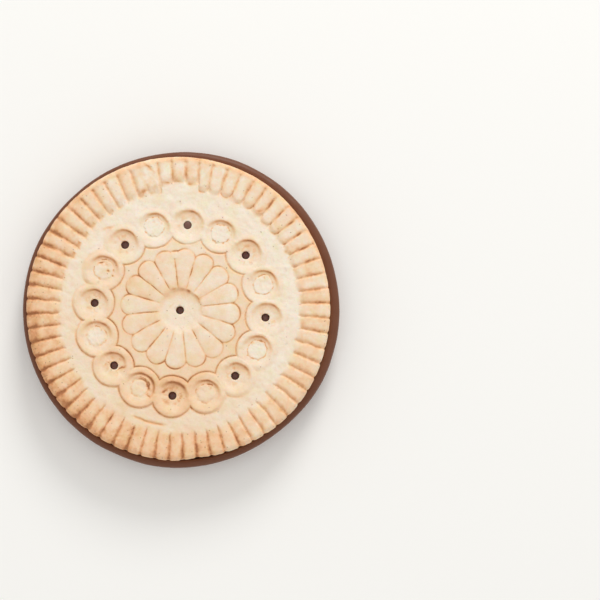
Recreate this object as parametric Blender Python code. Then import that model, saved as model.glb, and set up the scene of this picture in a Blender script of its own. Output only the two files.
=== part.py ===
"""A round stamped biscuit set in a moulded milk chocolate tray.

The object lies on its chocolate side. The origin is on the resting plane under the tray's centre, and +Z
points up, out of the biscuit's face. Seen from above, +Y is the top of the stamp and +X its right.

The biscuit's face is a stamp in relief. From the middle out it has a bowl with a docker hole, sixteen petals,
a flat field, a chain of sixteen round cups of which every other one is pierced, a plain band, and sixty-four
ribs that run over the edge. Each form is a pad that rises from the face's base level, and lines show where two
pads meet. The chocolate's underside is a recessed panel inside a raised rim, with a moulded flower on it.

Both faces are made alike: outlines are drawn in the plane, triangulated, and lifted by a height function.
"""

import math

import bmesh
import bpy
import numpy as np
from mathutils import Vector
from mathutils.geometry import delaunay_2d_cdt

MM = 0.001  # every size below is in millimetres, and every angle in radians
SHARP_DEGREES = 35

# Tray: the chocolate
TRAY_RADIUS = 32.5
TRAY_SIDES = 96
RIM_RADIUS = 31.35  # outer edge of the raised rim that it rests on
RIM_WIDTH = 1.7
RIM_ROUND = 0.3
PANEL_DEPTH = 0.6
PANEL_BEVEL = 0.6
LIP_Z = (3.9, 4.2, 4.9)  # where the drafted wall ends, the lip is widest, and its shoulder starts
LIP_STEP = 0.3
SHOULDER_Z = 5.7
POCKET_FLOOR_Z = 3.3

# Biscuit
BISCUIT_RADIUS = 31.0
BISCUIT_AT = Vector((-0.45, 0.15))  # it sits a little off the tray's centre
GAP = 0.3
FACE_Z = 8.8  # the face's base level
EDGE_INSETS = (1.5, 0.5, 0.12)  # rings of the rounded edge, measured in from the side wall
EDGE_DROPS = (0.0, 0.25, 0.75)
SIDE_DROPS = (1.5, 4.6)  # rings of the side wall, measured down from the base level
FOOT_INSET = 0.4

# Stamp
STAMP_AT = Vector((0.33, -0.43))  # its centre, from the biscuit's centre
STAMP_TURN = math.radians(-4.9)
SECTORS = 16
RIBS = 64
RIB_TURN = math.radians(-0.7)
RIB_START = 24.2
RIB_HEIGHT = 0.5
RIB_SHOULDER = 0.72  # of the way from a rib's crown to the groove beside it
CHAIN_RADIUS = 17.76  # circle that the cups' centres lie on
CUP_RADIUS = 4.31
CUP_HEIGHT = 0.42
CUP_CROWN = 3.3
CUP_RIM = 2.75
BOWL_DEPTH = 0.55
PLUG_RADIUS = 1.9  # flat floor of the cups that aren't pierced
PLUG_DEPTH = 0.35
HOLE_RADIUS = 0.7
HOLE_SIDES = 8
FIELD_HEIGHT = 0.25
PETAL_TIP = 12.26
PETAL_CUSP = 10.8  # where two petals' tips meet
PETAL_HEIGHT = 0.36
HUB_LIP = 4.9
HUB_RADIUS = 4.2
HUB_DEPTH = 0.5
CUP_FOOT = 0.35  # how far a cup takes to rise from the base level
LINE_HALF = 0.22  # half the width of the line between two petals, or between a petal and the field

# Flower on the underside
FLOWER_PETALS = 8
FLOWER_INNER = 5.2
FLOWER_OUTER = 17.0
FLOWER_TIP_RADIUS = 4.0
FLOWER_EYE = 3.4
BEADS = 24
BEAD_CIRCLE = 23.5
BEAD_RADIUS = 1.1
ORNAMENT_HEIGHT = 0.35
ORNAMENT_BEVEL = 0.3

SECTOR = 2 * math.pi / SECTORS
PITCH = 2 * math.pi / RIBS
HALF_SECTOR = SECTOR / 2
CAP_HALF = RIB_START * math.tan(PITCH / 2) / (1 - math.tan(PITCH / 2))  # a rib's half width at its round end
CAP_AT = RIB_START + CAP_HALF
CUSP_ALONG = PETAL_CUSP * math.cos(HALF_SECTOR)
CUSP_ACROSS = PETAL_CUSP * math.sin(HALF_SECTOR)
TIP_AT = (PETAL_TIP**2 - CUSP_ALONG**2 - CUSP_ACROSS**2) / (2 * (PETAL_TIP - CUSP_ALONG))
TIP_RADIUS = PETAL_TIP - TIP_AT


# ---------------------------------------------------------------- outlines in the plane


def polar(radius, angle):
    return np.array([radius * math.cos(angle), radius * math.sin(angle)])


def arc(centre, radius, start, end, count):
    """count points on an arc, both ends included."""
    return np.array([np.asarray(centre) + polar(radius, a) for a in np.linspace(start, end, count)])


def loop(centre, radius, count, start=0.0):
    """A closed ring of count points, with the first one repeated at its end."""
    return arc(centre, radius, start, start + 2 * math.pi, count + 1)


def turned(points, angle):
    c, s = math.cos(angle), math.sin(angle)
    return np.asarray(points) @ np.array([[c, s], [-s, c]])


def reach(angle, inset):
    """The point on the biscuit's edge, taken in by inset, on the ray from the stamp's centre."""
    away = Vector((math.cos(angle), math.sin(angle)))
    along = STAMP_AT.dot(away)
    distance = -along + math.sqrt(along**2 - STAMP_AT.length_squared + (BISCUIT_RADIUS - inset) ** 2)
    return polar(distance, angle)


def meets_side(centre, radius, inside=0.0):
    """The angle round a circle at which it comes within inside of the sector's side."""
    return HALF_SECTOR + math.asin((centre * math.sin(HALF_SECTOR) - inside) / radius)


def rib_lines():
    """Crown, shoulders, groove and round inner end of every rib, round the stamp's centre."""
    lines = []
    edge_angles = []
    cap = np.linspace(-math.pi / 2, math.pi / 2, 5) + math.pi
    for rib in range(RIBS):
        middle = RIB_TURN + rib * PITCH
        for part in (-1.0, -RIB_SHOULDER, 0.0, RIB_SHOULDER):
            angle = middle + part * PITCH / 2
            edge_angles.append(angle)
            start = polar(CAP_AT / math.cos(part * PITCH / 2), angle)
            lines.append(np.array([start, *(reach(angle, inset) for inset in EDGE_INSETS)]))
        for share in (1.0, RIB_SHOULDER):
            lines.append(turned([(CAP_AT, 0) + polar(share * CAP_HALF, a) for a in cap], middle))
    rings = [np.array([reach(a, inset) for a in [*edge_angles, edge_angles[0]]]) for inset in EDGE_INSETS]
    return lines, rings


def cup_lines(pierced):
    """One cup of the chain, along its sector's middle line."""
    centre = (CHAIN_RADIUS, 0)
    lines = []
    for radius in (CUP_RADIUS, CUP_RADIUS - CUP_FOOT):
        outer = meets_side(CHAIN_RADIUS, radius)
        inner = math.pi + 2 * HALF_SECTOR - outer
        lines.append(arc(centre, radius, -outer, outer, 7))
        lines.append(arc(centre, radius, inner, 2 * math.pi - inner, 5))
    lines.append(loop(centre, CUP_CROWN, 14))
    lines.append(loop(centre, CUP_RIM, 14))
    lines.append(loop(centre, PLUG_RADIUS, 12))
    if not pierced:
        lines.append(np.array([centre, (CHAIN_RADIUS + HOLE_RADIUS, 0)]))
    return lines


def petal_lines():
    """One petal, the line beside it and the edge of the field round it, along its sector's middle line."""
    lines = []
    tip = meets_side(TIP_AT, TIP_RADIUS)
    lines.append(arc((TIP_AT, 0), TIP_RADIUS, -tip, tip, 7))
    lines.append(np.array([polar(r, HALF_SECTOR) for r in (HUB_LIP, 7.0, 9.0, PETAL_CUSP)]))
    shoulder = meets_side(TIP_AT, TIP_RADIUS - LINE_HALF, LINE_HALF)
    side = [polar(r, HALF_SECTOR - math.asin(LINE_HALF / r)) for r in (5.4, 8.0)]
    other_side = [point * (1, -1) for point in side]
    top = arc((TIP_AT, 0), TIP_RADIUS - LINE_HALF, shoulder, -shoulder, 7)
    lines.append(np.array([*side, *top, *reversed(other_side)]))
    lines.append(np.array([(6.2, 0), (8.2, 0), (10.2, 0)]))
    field_inner = meets_side(TIP_AT, TIP_RADIUS + LINE_HALF)
    lines.append(arc((TIP_AT, 0), TIP_RADIUS + LINE_HALF, -field_inner, field_inner, 5))
    field_outer = math.pi + 2 * HALF_SECTOR - meets_side(CHAIN_RADIUS, CUP_RADIUS + LINE_HALF)
    lines.append(arc((CHAIN_RADIUS, 0), CUP_RADIUS + LINE_HALF, field_outer, 2 * math.pi - field_outer, 5))
    return lines


def hole_loops():
    """The docker holes: one in the middle, and one in every other cup."""
    loops = [loop((0, 0), HOLE_RADIUS, HOLE_SIDES)]
    for k in range(0, SECTORS, 2):
        loops.append(turned(loop((CHAIN_RADIUS, 0), HOLE_RADIUS, HOLE_SIDES), STAMP_TURN + k * SECTOR))
    return loops


def flower_lines():
    """The moulded flower and its ring of beads: the foot and the top edge of each pad."""
    lines = []
    for inside in (0.0, ORNAMENT_BEVEL):
        for k in range(FLOWER_PETALS):
            lines.append(turned(flower_petal(inside), k * 2 * math.pi / FLOWER_PETALS))
        for k in range(BEADS):
            centre = polar(BEAD_CIRCLE, (k + 0.5) * 2 * math.pi / BEADS)
            lines.append(loop(centre, BEAD_RADIUS - inside, 8))
        lines.append(loop((0, 0), FLOWER_EYE - inside, 16))
    return lines


def flower_petal(inside):
    """A drop: a round tip, with straight sides that run in to a small round end."""
    tip_at = FLOWER_OUTER - FLOWER_TIP_RADIUS
    small = FLOWER_TIP_RADIUS * 0.3
    small_at = FLOWER_INNER + small
    lean = math.asin((FLOWER_TIP_RADIUS - small) / (tip_at - small_at))
    ends = math.pi / 2 + lean
    tip = arc((tip_at, 0), FLOWER_TIP_RADIUS - inside, -ends, ends, 11)
    heel = arc((small_at, 0), small - inside, ends, 2 * math.pi - ends, 5)
    return np.array([*tip, *heel, tip[0]])


# ---------------------------------------------------------------- heights


def smooth(t):
    t = np.clip(t, 0, 1)
    return t * t * (3 - 2 * t)


def folded(angle, step):
    """The angle from the middle of the step that it falls in."""
    return (angle + step / 2) % step - step / 2


def drop_distance(along, across, far_at, far_radius, near_at, near_radius):
    """How far inside a drop a point is: two circles on one line and the straight sides between them."""
    lean = (far_radius - near_radius) / (far_at - near_at)
    share = np.clip((along - near_at + lean * np.abs(across)) / (far_at - near_at), 0, 1)
    centre = near_at + share * (far_at - near_at)
    return near_radius + share * (far_radius - near_radius) - np.hypot(along - centre, across)


def relief(points):
    """Height of the biscuit's face over its base level, at points measured from the stamp's centre."""
    x, y = np.asarray(points).T
    r = np.hypot(x, y)
    angle = np.arctan2(y, x)
    away = folded(angle - STAMP_TURN, SECTOR)
    along, across = r * np.cos(away), np.abs(r * np.sin(away))
    side = r * np.sin(HALF_SECTOR - np.abs(away))

    rib_angle = folded(angle - RIB_TURN, PITCH)
    rib_along, rib_across = r * np.cos(rib_angle), np.abs(r * np.sin(rib_angle))
    cap = np.hypot(rib_across, CAP_AT - rib_along) / CAP_HALF
    across_rib = np.where(rib_along < CAP_AT, cap, rib_across / (rib_along * math.tan(PITCH / 2)))
    ribs = RIB_HEIGHT * (1 - np.clip(across_rib, 0, 1) ** 3)

    from_cup = np.hypot(along - CHAIN_RADIUS, across)
    pierced = np.round((angle - STAMP_TURN) / SECTOR) % 2 == 0
    cups = CUP_HEIGHT * smooth((CUP_RADIUS - from_cup) / CUP_FOOT)
    bowl = BOWL_DEPTH * np.sqrt(np.clip(1 - (from_cup / CUP_CROWN) ** 2, 0, 1))
    plug = PLUG_DEPTH * smooth((CUP_CROWN - from_cup) / (CUP_CROWN - PLUG_RADIUS))
    cups -= np.where(pierced, bowl, plug)

    petal_inside = np.where(along > TIP_AT, TIP_RADIUS - np.hypot(along - TIP_AT, across), side)
    petals = PETAL_HEIGHT * smooth(petal_inside / LINE_HALF)
    field_inside = np.minimum(-petal_inside, from_cup - CUP_RADIUS)
    field = FIELD_HEIGHT * smooth(field_inside / LINE_HALF) * (r < CHAIN_RADIUS)
    hub = PETAL_HEIGHT * smooth((r - HUB_RADIUS) / (HUB_LIP - HUB_RADIUS))
    hub -= HUB_DEPTH * np.sqrt(np.clip(1 - (r / HUB_RADIUS) ** 2, 0, 1))

    inner = np.where(r < HUB_LIP, hub, np.maximum(petals, field))
    return np.where(r > RIB_START, ribs, np.where(from_cup < CUP_RADIUS, cups, inner))


def face_height(points):
    """Z of the biscuit's face, with the relief running out over its rounded edge."""
    points = np.asarray(points)
    inset = BISCUIT_RADIUS - np.linalg.norm(points + STAMP_AT, axis=1)
    drop = np.interp(inset, EDGE_INSETS[::-1], EDGE_DROPS[::-1])
    return FACE_Z - drop + relief(points)


def panel_height(points):
    """Z of the tray's underside: the rim at 0, the panel above it, and the ornament hanging from the panel."""
    x, y = np.asarray(points).T
    r = np.hypot(x, y)
    panel = PANEL_DEPTH * smooth((RIM_RADIUS - RIM_WIDTH - r) / PANEL_BEVEL)
    away = folded(np.arctan2(y, x), 2 * math.pi / FLOWER_PETALS)
    tip_at = FLOWER_OUTER - FLOWER_TIP_RADIUS
    small = FLOWER_TIP_RADIUS * 0.3
    inside = drop_distance(
        r * np.cos(away), r * np.sin(away), tip_at, FLOWER_TIP_RADIUS, FLOWER_INNER + small, small
    )
    inside = np.maximum(inside, FLOWER_EYE - r)
    bead = np.mod(np.arctan2(y, x), 2 * math.pi / BEADS) - math.pi / BEADS
    inside = np.maximum(inside, BEAD_RADIUS - np.hypot(r * np.cos(bead) - BEAD_CIRCLE, r * np.sin(bead)))
    return panel - ORNAMENT_HEIGHT * smooth(inside / ORNAMENT_BEVEL)


# ---------------------------------------------------------------- solids


def triangulate(lines):
    """Triangles between these polylines, with every line kept as edges. Returns the points and the triangles."""
    points = []
    edges = []
    for line in lines:
        first = len(points)
        points.extend(Vector(point) for point in line)
        edges.extend((i, i + 1) for i in range(first, first + len(line) - 1))
    made, _, faces, *_ = delaunay_2d_cdt(points, edges, [], 0, 1e-5)
    return np.array(made), np.array(faces)


def inside_loop(points, ring):
    """Which points lie inside a convex ring that runs anticlockwise."""
    start, end = ring[:-1], ring[1:]
    side = end - start
    from_start = points[:, None] - start[None]
    return (side[:, 0] * from_start[..., 1] - side[:, 1] * from_start[..., 0] > 0).all(axis=1)


def add_ring(bm, ring, heights, at):
    """Vertices for a closed ring, whose repeated last point is left out."""
    heights = np.broadcast_to(heights, len(ring))
    return [bm.verts.new((*(Vector(p) + at), z)) for p, z in zip(ring[:-1], heights)]


def bridge(bm, lower, upper):
    """Quads between two rings of equal length that run anticlockwise, facing out from their axis."""
    for i in range(len(lower)):
        j = (i + 1) % len(lower)
        bm.faces.new((lower[i], lower[j], upper[j], upper[i]))


def add_face(bm, lines, rings, height, at, facing_up, holes=()):
    """A relief face between the outermost ring and the holes. Returns the vertices of that ring and of each hole."""
    points, triangles = triangulate([*lines, *rings, *holes])
    middles = points[triangles].mean(axis=1)
    keep = inside_loop(middles, rings[-1])
    for hole in holes:
        keep &= ~inside_loop(middles, hole)
    verts = [bm.verts.new((*(Vector(p) + at), z)) for p, z in zip(points, height(points))]
    for a, b, c in triangles[keep]:
        bm.faces.new((verts[a], verts[b], verts[c]) if facing_up else (verts[c], verts[b], verts[a]))
    found = []
    for ring in (rings[-1], *holes):
        distance = np.linalg.norm(points[None] - ring[:-1, None], axis=2)
        found.append([verts[i] for i in distance.argmin(axis=1)])
    for vert in [v for v in verts if not v.link_faces]:
        bm.verts.remove(vert)
    return found


def add_object(name, bm, material):
    """Ends a mesh that was built in millimetres, and puts it in the scene as an object."""
    bmesh.ops.scale(bm, vec=(MM, MM, MM), verts=bm.verts)
    bmesh.ops.triangulate(bm, faces=bm.faces)
    mesh = bpy.data.meshes.new(name)
    bm.to_mesh(mesh)
    bm.free()
    mesh.shade_smooth()
    mesh.set_sharp_from_angle(angle=math.radians(SHARP_DEGREES))
    mesh.materials.append(material)
    made = bpy.data.objects.new(name, mesh)
    bpy.context.scene.collection.objects.link(made)
    return made


def make_material(name, colour, roughness):
    material = bpy.data.materials.new(name)
    material.use_nodes = True
    shader = material.node_tree.nodes["Principled BSDF"]
    shader.inputs["Base Color"].default_value = (*colour, 1)
    shader.inputs["Roughness"].default_value = roughness
    shader.inputs["Metallic"].default_value = 0
    return material


def make_biscuit():
    lines, rings = rib_lines()
    for k in range(SECTORS):
        sector = [*petal_lines(), *cup_lines(pierced=k % 2 == 0)]
        lines.extend(turned(line, STAMP_TURN + k * SECTOR) for line in sector)
    for radius in (HUB_LIP, HUB_RADIUS, 0.75 * HUB_RADIUS, 0.4 * HUB_RADIUS):
        lines.append(loop((0, 0), radius, SECTORS, STAMP_TURN + HALF_SECTOR))
    holes = hole_loops()
    at = BISCUIT_AT + STAMP_AT
    bm = bmesh.new()
    edge, *hole_tops = add_face(bm, lines, rings, face_height, at, True, holes)

    outline = rings[-1] + np.array(STAMP_AT)
    outward = outline / np.linalg.norm(outline, axis=1, keepdims=True)
    upper = edge
    for drop in SIDE_DROPS:
        lower = add_ring(bm, outward * BISCUIT_RADIUS, FACE_Z - drop, BISCUIT_AT)
        bridge(bm, lower, upper)
        upper = lower
    foot_z = POCKET_FLOOR_Z + GAP
    foot = outward * (BISCUIT_RADIUS - FOOT_INSET) - np.array(STAMP_AT)
    foot_edge, *hole_feet = add_face(bm, [], [foot], lambda p: np.full(len(p), foot_z), at, False, holes)
    bridge(bm, foot_edge, upper)
    for top, bottom in zip(hole_tops, hole_feet):
        bridge(bm, top, bottom)
    return add_object("biscuit", bm, make_material("baked_dough", (0.86, 0.62, 0.39), 0.8))


def make_tray():
    """Chocolate: a relief face below, a drafted wall with a lip, and a pocket cast round the biscuit."""
    centre = Vector((0, 0))
    rim_inner = RIM_RADIUS - RIM_WIDTH
    flat = RIM_RADIUS - RIM_ROUND
    rings = [loop((0, 0), r, TRAY_SIDES) for r in (rim_inner - PANEL_BEVEL, rim_inner, flat)]
    bm = bmesh.new()
    (upper,) = add_face(bm, flower_lines(), rings, panel_height, centre, False)
    pocket = BISCUIT_RADIUS + GAP
    crest = (TRAY_RADIUS + pocket) / 2
    wall = (
        (RIM_RADIUS, RIM_ROUND, 0),
        (TRAY_RADIUS - LIP_STEP, LIP_Z[0], 0),
        (TRAY_RADIUS, LIP_Z[1], 0),
        (TRAY_RADIUS, LIP_Z[2], 0),
        (crest + 0.3, SHOULDER_Z - 0.2, 0.3),
        (crest - 0.1, SHOULDER_Z, 0.6),
        (pocket, SHOULDER_Z - 0.15, 1),
        (pocket, POCKET_FLOOR_Z, 1),
    )
    for radius, z, towards_biscuit in wall:
        ring = add_ring(bm, loop((0, 0), radius, TRAY_SIDES), z, BISCUIT_AT * towards_biscuit)
        bridge(bm, upper, ring)
        upper = ring
    bm.faces.new(upper)
    return add_object("chocolate_tray", bm, make_material("milk_chocolate", (0.24, 0.095, 0.055), 0.4))


def main():
    for old in list(bpy.data.objects):
        bpy.data.objects.remove(old)
    make_tray()
    make_biscuit()


main()
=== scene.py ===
"""Looks of the chocolate-backed sugar cookie: its baked face in fine relief, the moulded chocolate, floor and light.

Sizes are in millimetres, measured from the frame's solids, and turned into metres when a mesh is made.
"""

import math

import bpy
import numpy as np
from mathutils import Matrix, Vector
from mathutils.geometry import delaunay_2d_cdt


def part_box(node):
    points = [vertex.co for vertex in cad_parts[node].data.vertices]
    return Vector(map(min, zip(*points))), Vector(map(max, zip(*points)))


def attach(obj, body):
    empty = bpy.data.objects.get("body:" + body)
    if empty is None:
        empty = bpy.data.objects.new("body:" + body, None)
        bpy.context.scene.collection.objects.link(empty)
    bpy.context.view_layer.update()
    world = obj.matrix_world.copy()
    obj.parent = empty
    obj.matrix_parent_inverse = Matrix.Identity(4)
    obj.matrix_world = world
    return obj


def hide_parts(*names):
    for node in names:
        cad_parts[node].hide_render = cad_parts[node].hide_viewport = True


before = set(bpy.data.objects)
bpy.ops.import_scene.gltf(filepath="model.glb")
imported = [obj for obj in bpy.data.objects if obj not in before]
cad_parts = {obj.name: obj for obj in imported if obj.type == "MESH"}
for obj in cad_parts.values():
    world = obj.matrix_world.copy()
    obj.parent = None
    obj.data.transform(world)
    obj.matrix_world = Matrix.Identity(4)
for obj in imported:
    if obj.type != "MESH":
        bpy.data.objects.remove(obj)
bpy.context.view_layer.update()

MM = 0.001
TURN = 2 * math.pi

# Places and sizes of the two solids
BISCUIT_LOW, BISCUIT_HIGH = (np.array(corner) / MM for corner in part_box("biscuit"))
TRAY_LOW, TRAY_HIGH = (np.array(corner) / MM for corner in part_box("chocolate_tray"))
BISCUIT_AT = (BISCUIT_LOW + BISCUIT_HIGH)[:2] / 2
BISCUIT_RADIUS = (BISCUIT_HIGH - BISCUIT_LOW)[0] / 2
TRAY_RADIUS = (TRAY_HIGH - TRAY_LOW)[0] / 2
TRAY_TOP = TRAY_HIGH[2]
GAP = 0.3  # that the solids keep to each other, and that the looks close
BISCUIT_FOOT = BISCUIT_LOW[2] - GAP

# Stamp on the biscuit's face. Its parts stand over the plain band, which is the face's base level.
RIB_HEIGHT = 0.5
RIB_RISE = 0.4
FACE_Z = BISCUIT_HIGH[2] - RIB_HEIGHT
STAMP_AT = np.array([0.33, -0.43])  # from the biscuit's centre
STAMP_TURN = -4.9
SECTORS = 16
RIBS = 64
RIB_START = 24.2
RIB_CAP = 1.15
CHAIN_RADIUS = 17.7
HOLE_CIRCLE = 17.5
HOLE_RADIUS = 0.85
CUP_RADIUS = 4.31
CUP_HEIGHT = 0.28
CUP_EDGE = 2.78
PLUG_RADIUS = 1.95
TWIN_CUP = 11
ROSETTE_AT = np.array([0.08, 0.2])  # from the stamp's centre
PETAL_TIP = 12.26
PETAL_CUSP = 10.85
PETAL_HEIGHT = 0.2
FIELD_HEIGHT = 0.16
HUB_RADIUS = 4.1
HUB_DEPTH = 0.42
HUB_PALE_AT = np.array([-0.53, -0.71])  # middle of the hub's palest part, from the rosette's centre
HUB_PALE_RADIUS = 3.3
LINE_WIDTH = 0.14
CREASE_RADIUS = 23.62
CREASE_FACING = -105.5

# Directions in degrees, anticlockwise from the stamp's right, and how far the ribs' grooves have crept there
GROOVE_DRIFT = ((-45, 0.65), (38, 4.37), (93, 3.63), (180, 1.5), (250, 1.45), (282, 1.0), (315, 0.65))
SHORT_RIBS = 90.2  # three ribs here begin further out
MISSING_GROOVE = 103.2  # two ribs have run together here
LIGHT_FROM = 70  # the light's direction: walls that look away from it get painted shade

# Brown smears and thin cracks: x, y from the stamp's centre, half length, half width, lean in degrees, strength
SMEARS = (
    (-14.6, 16.8, 1.0, 0.25, 20, 0.6),
    (-6.4, 29.1, 1.1, 0.28, -36, 0.75),
    # The next four lie on the ribs' inner ends near the top: crumbs with painted shade of the end walls
    (-7.5, 24.4, 0.8, 0.45, 0, 0.6),
    (-2.8, 26.2, 0.8, 0.3, 0, 0.6),
    (-0.3, 26.5, 0.8, 0.3, 0, 0.55),
    (2.3, 25.9, 0.8, 0.3, 0, 0.7),
    (13.7, 21.9, 0.5, 0.4, 0, 0.15),
    (16.4, 20.3, 0.9, 0.35, 15, 0.55),
    (17.1, 17.5, 0.56, 0.2, -23, 0.22),
    (4.1, 2.3, 0.45, 0.35, -30, 0.3),  # on the hub's edge
    (-1.65, 0.92, 0.77, 0.12, 41, 0.25),  # scratch beside the middle hole
    (-13.9, 6.8, 0.27, 0.22, -16, 0.9),
    (-12.0, -11.9, 0.75, 0.14, 18, 0.85),
    (-14.7, -10.7, 0.45, 0.13, -48, 0.7),
    (-3.4, -16.5, 0.4, 0.24, 60, 0.75),
    (-16.2, 9.6, 0.8, 0.24, 20, 1.1),
    (-14.7, 8.0, 0.35, 0.28, -30, 0.95),
    (-6.3, -17.5, 0.35, 0.22, -50, 0.6),
)


# ---------------------------------------------------------------- noise and windows


def lattice(cells, seed):
    """Random values from -1 to 1, one for each whole-numbered cell."""
    n = seed * 1274126177
    for column, prime in zip(cells.astype(np.int64).T, (374761393, 668265263, 2147483647)):
        n = n + column * prime
    n = n & 0xFFFFFFFF
    n = ((n ^ (n >> 13)) * 1103515245 + 12345) & 0xFFFFFFFF
    n = ((n ^ (n >> 16)) * 1274126177) & 0xFFFFFFFF
    return ((n ^ (n >> 15)) & 0xFFFFFF) / 0x7FFFFF - 1


def noise(points, size, seed):
    """Smooth noise from -1 to 1, with features about size across, at points in the plane or in space."""
    at = points / size + seed * 17.31
    cell = np.floor(at)
    part = at - cell
    part = part**3 * (part * (part * 6 - 15) + 10)
    total = 0
    for corner in np.ndindex(*[2] * points.shape[1]):
        weight = np.prod(np.where(corner, part, 1 - part), axis=1)
        total = total + weight * lattice(cell + corner, seed)
    return total


def layered(points, size, seed, layers=3):
    """Noise with finer and fainter layers added."""
    return sum(noise(points, size / 2**i, seed + i) / 2**i for i in range(layers)) / 1.5


def own_random(number, seed):
    """A random value from -1 to 1 that belongs to each numbered thing."""
    return lattice(number[:, None], seed)


def smooth(t):
    t = np.clip(t, 0, 1)
    return t * t * (3 - 2 * t)


def bell(distance, width):
    return np.exp(-((distance / width) ** 2))


def folded(angle, step):
    """The angle from the middle of the step that it falls in."""
    return (angle + step / 2) % step - step / 2


def facing(angle, middle, reach):
    """1 towards the middle direction, falling smoothly to 0 at reach to either side. In degrees."""
    return smooth(1 - np.abs(folded(angle - middle, 360)) / reach)


def within(angle, middle, half, edge=0.5):
    """1 within half of the middle direction, and 0 outside it. In degrees."""
    return smooth((half - np.abs(folded(angle - middle, 360))) / edge + 0.5)


def polar_of(points):
    """Distance from the origin, and direction in degrees."""
    return np.hypot(*points.T), np.degrees(np.arctan2(points[:, 1], points[:, 0]))


def place(radius, degrees):
    return np.array([radius * math.cos(math.radians(degrees)), radius * math.sin(math.radians(degrees))])


# ---------------------------------------------------------------- the stamp: height, browning and painted shade


def in_sector(points, turn):
    """Points folded into one sector: along its middle line, across it, and the number of the sector."""
    r, angle = polar_of(points)
    step = 360 / SECTORS
    away = np.radians(folded(angle - turn, step))
    return r * np.cos(away), r * np.sin(away), np.round((angle - turn) / step) % SECTORS


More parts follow.
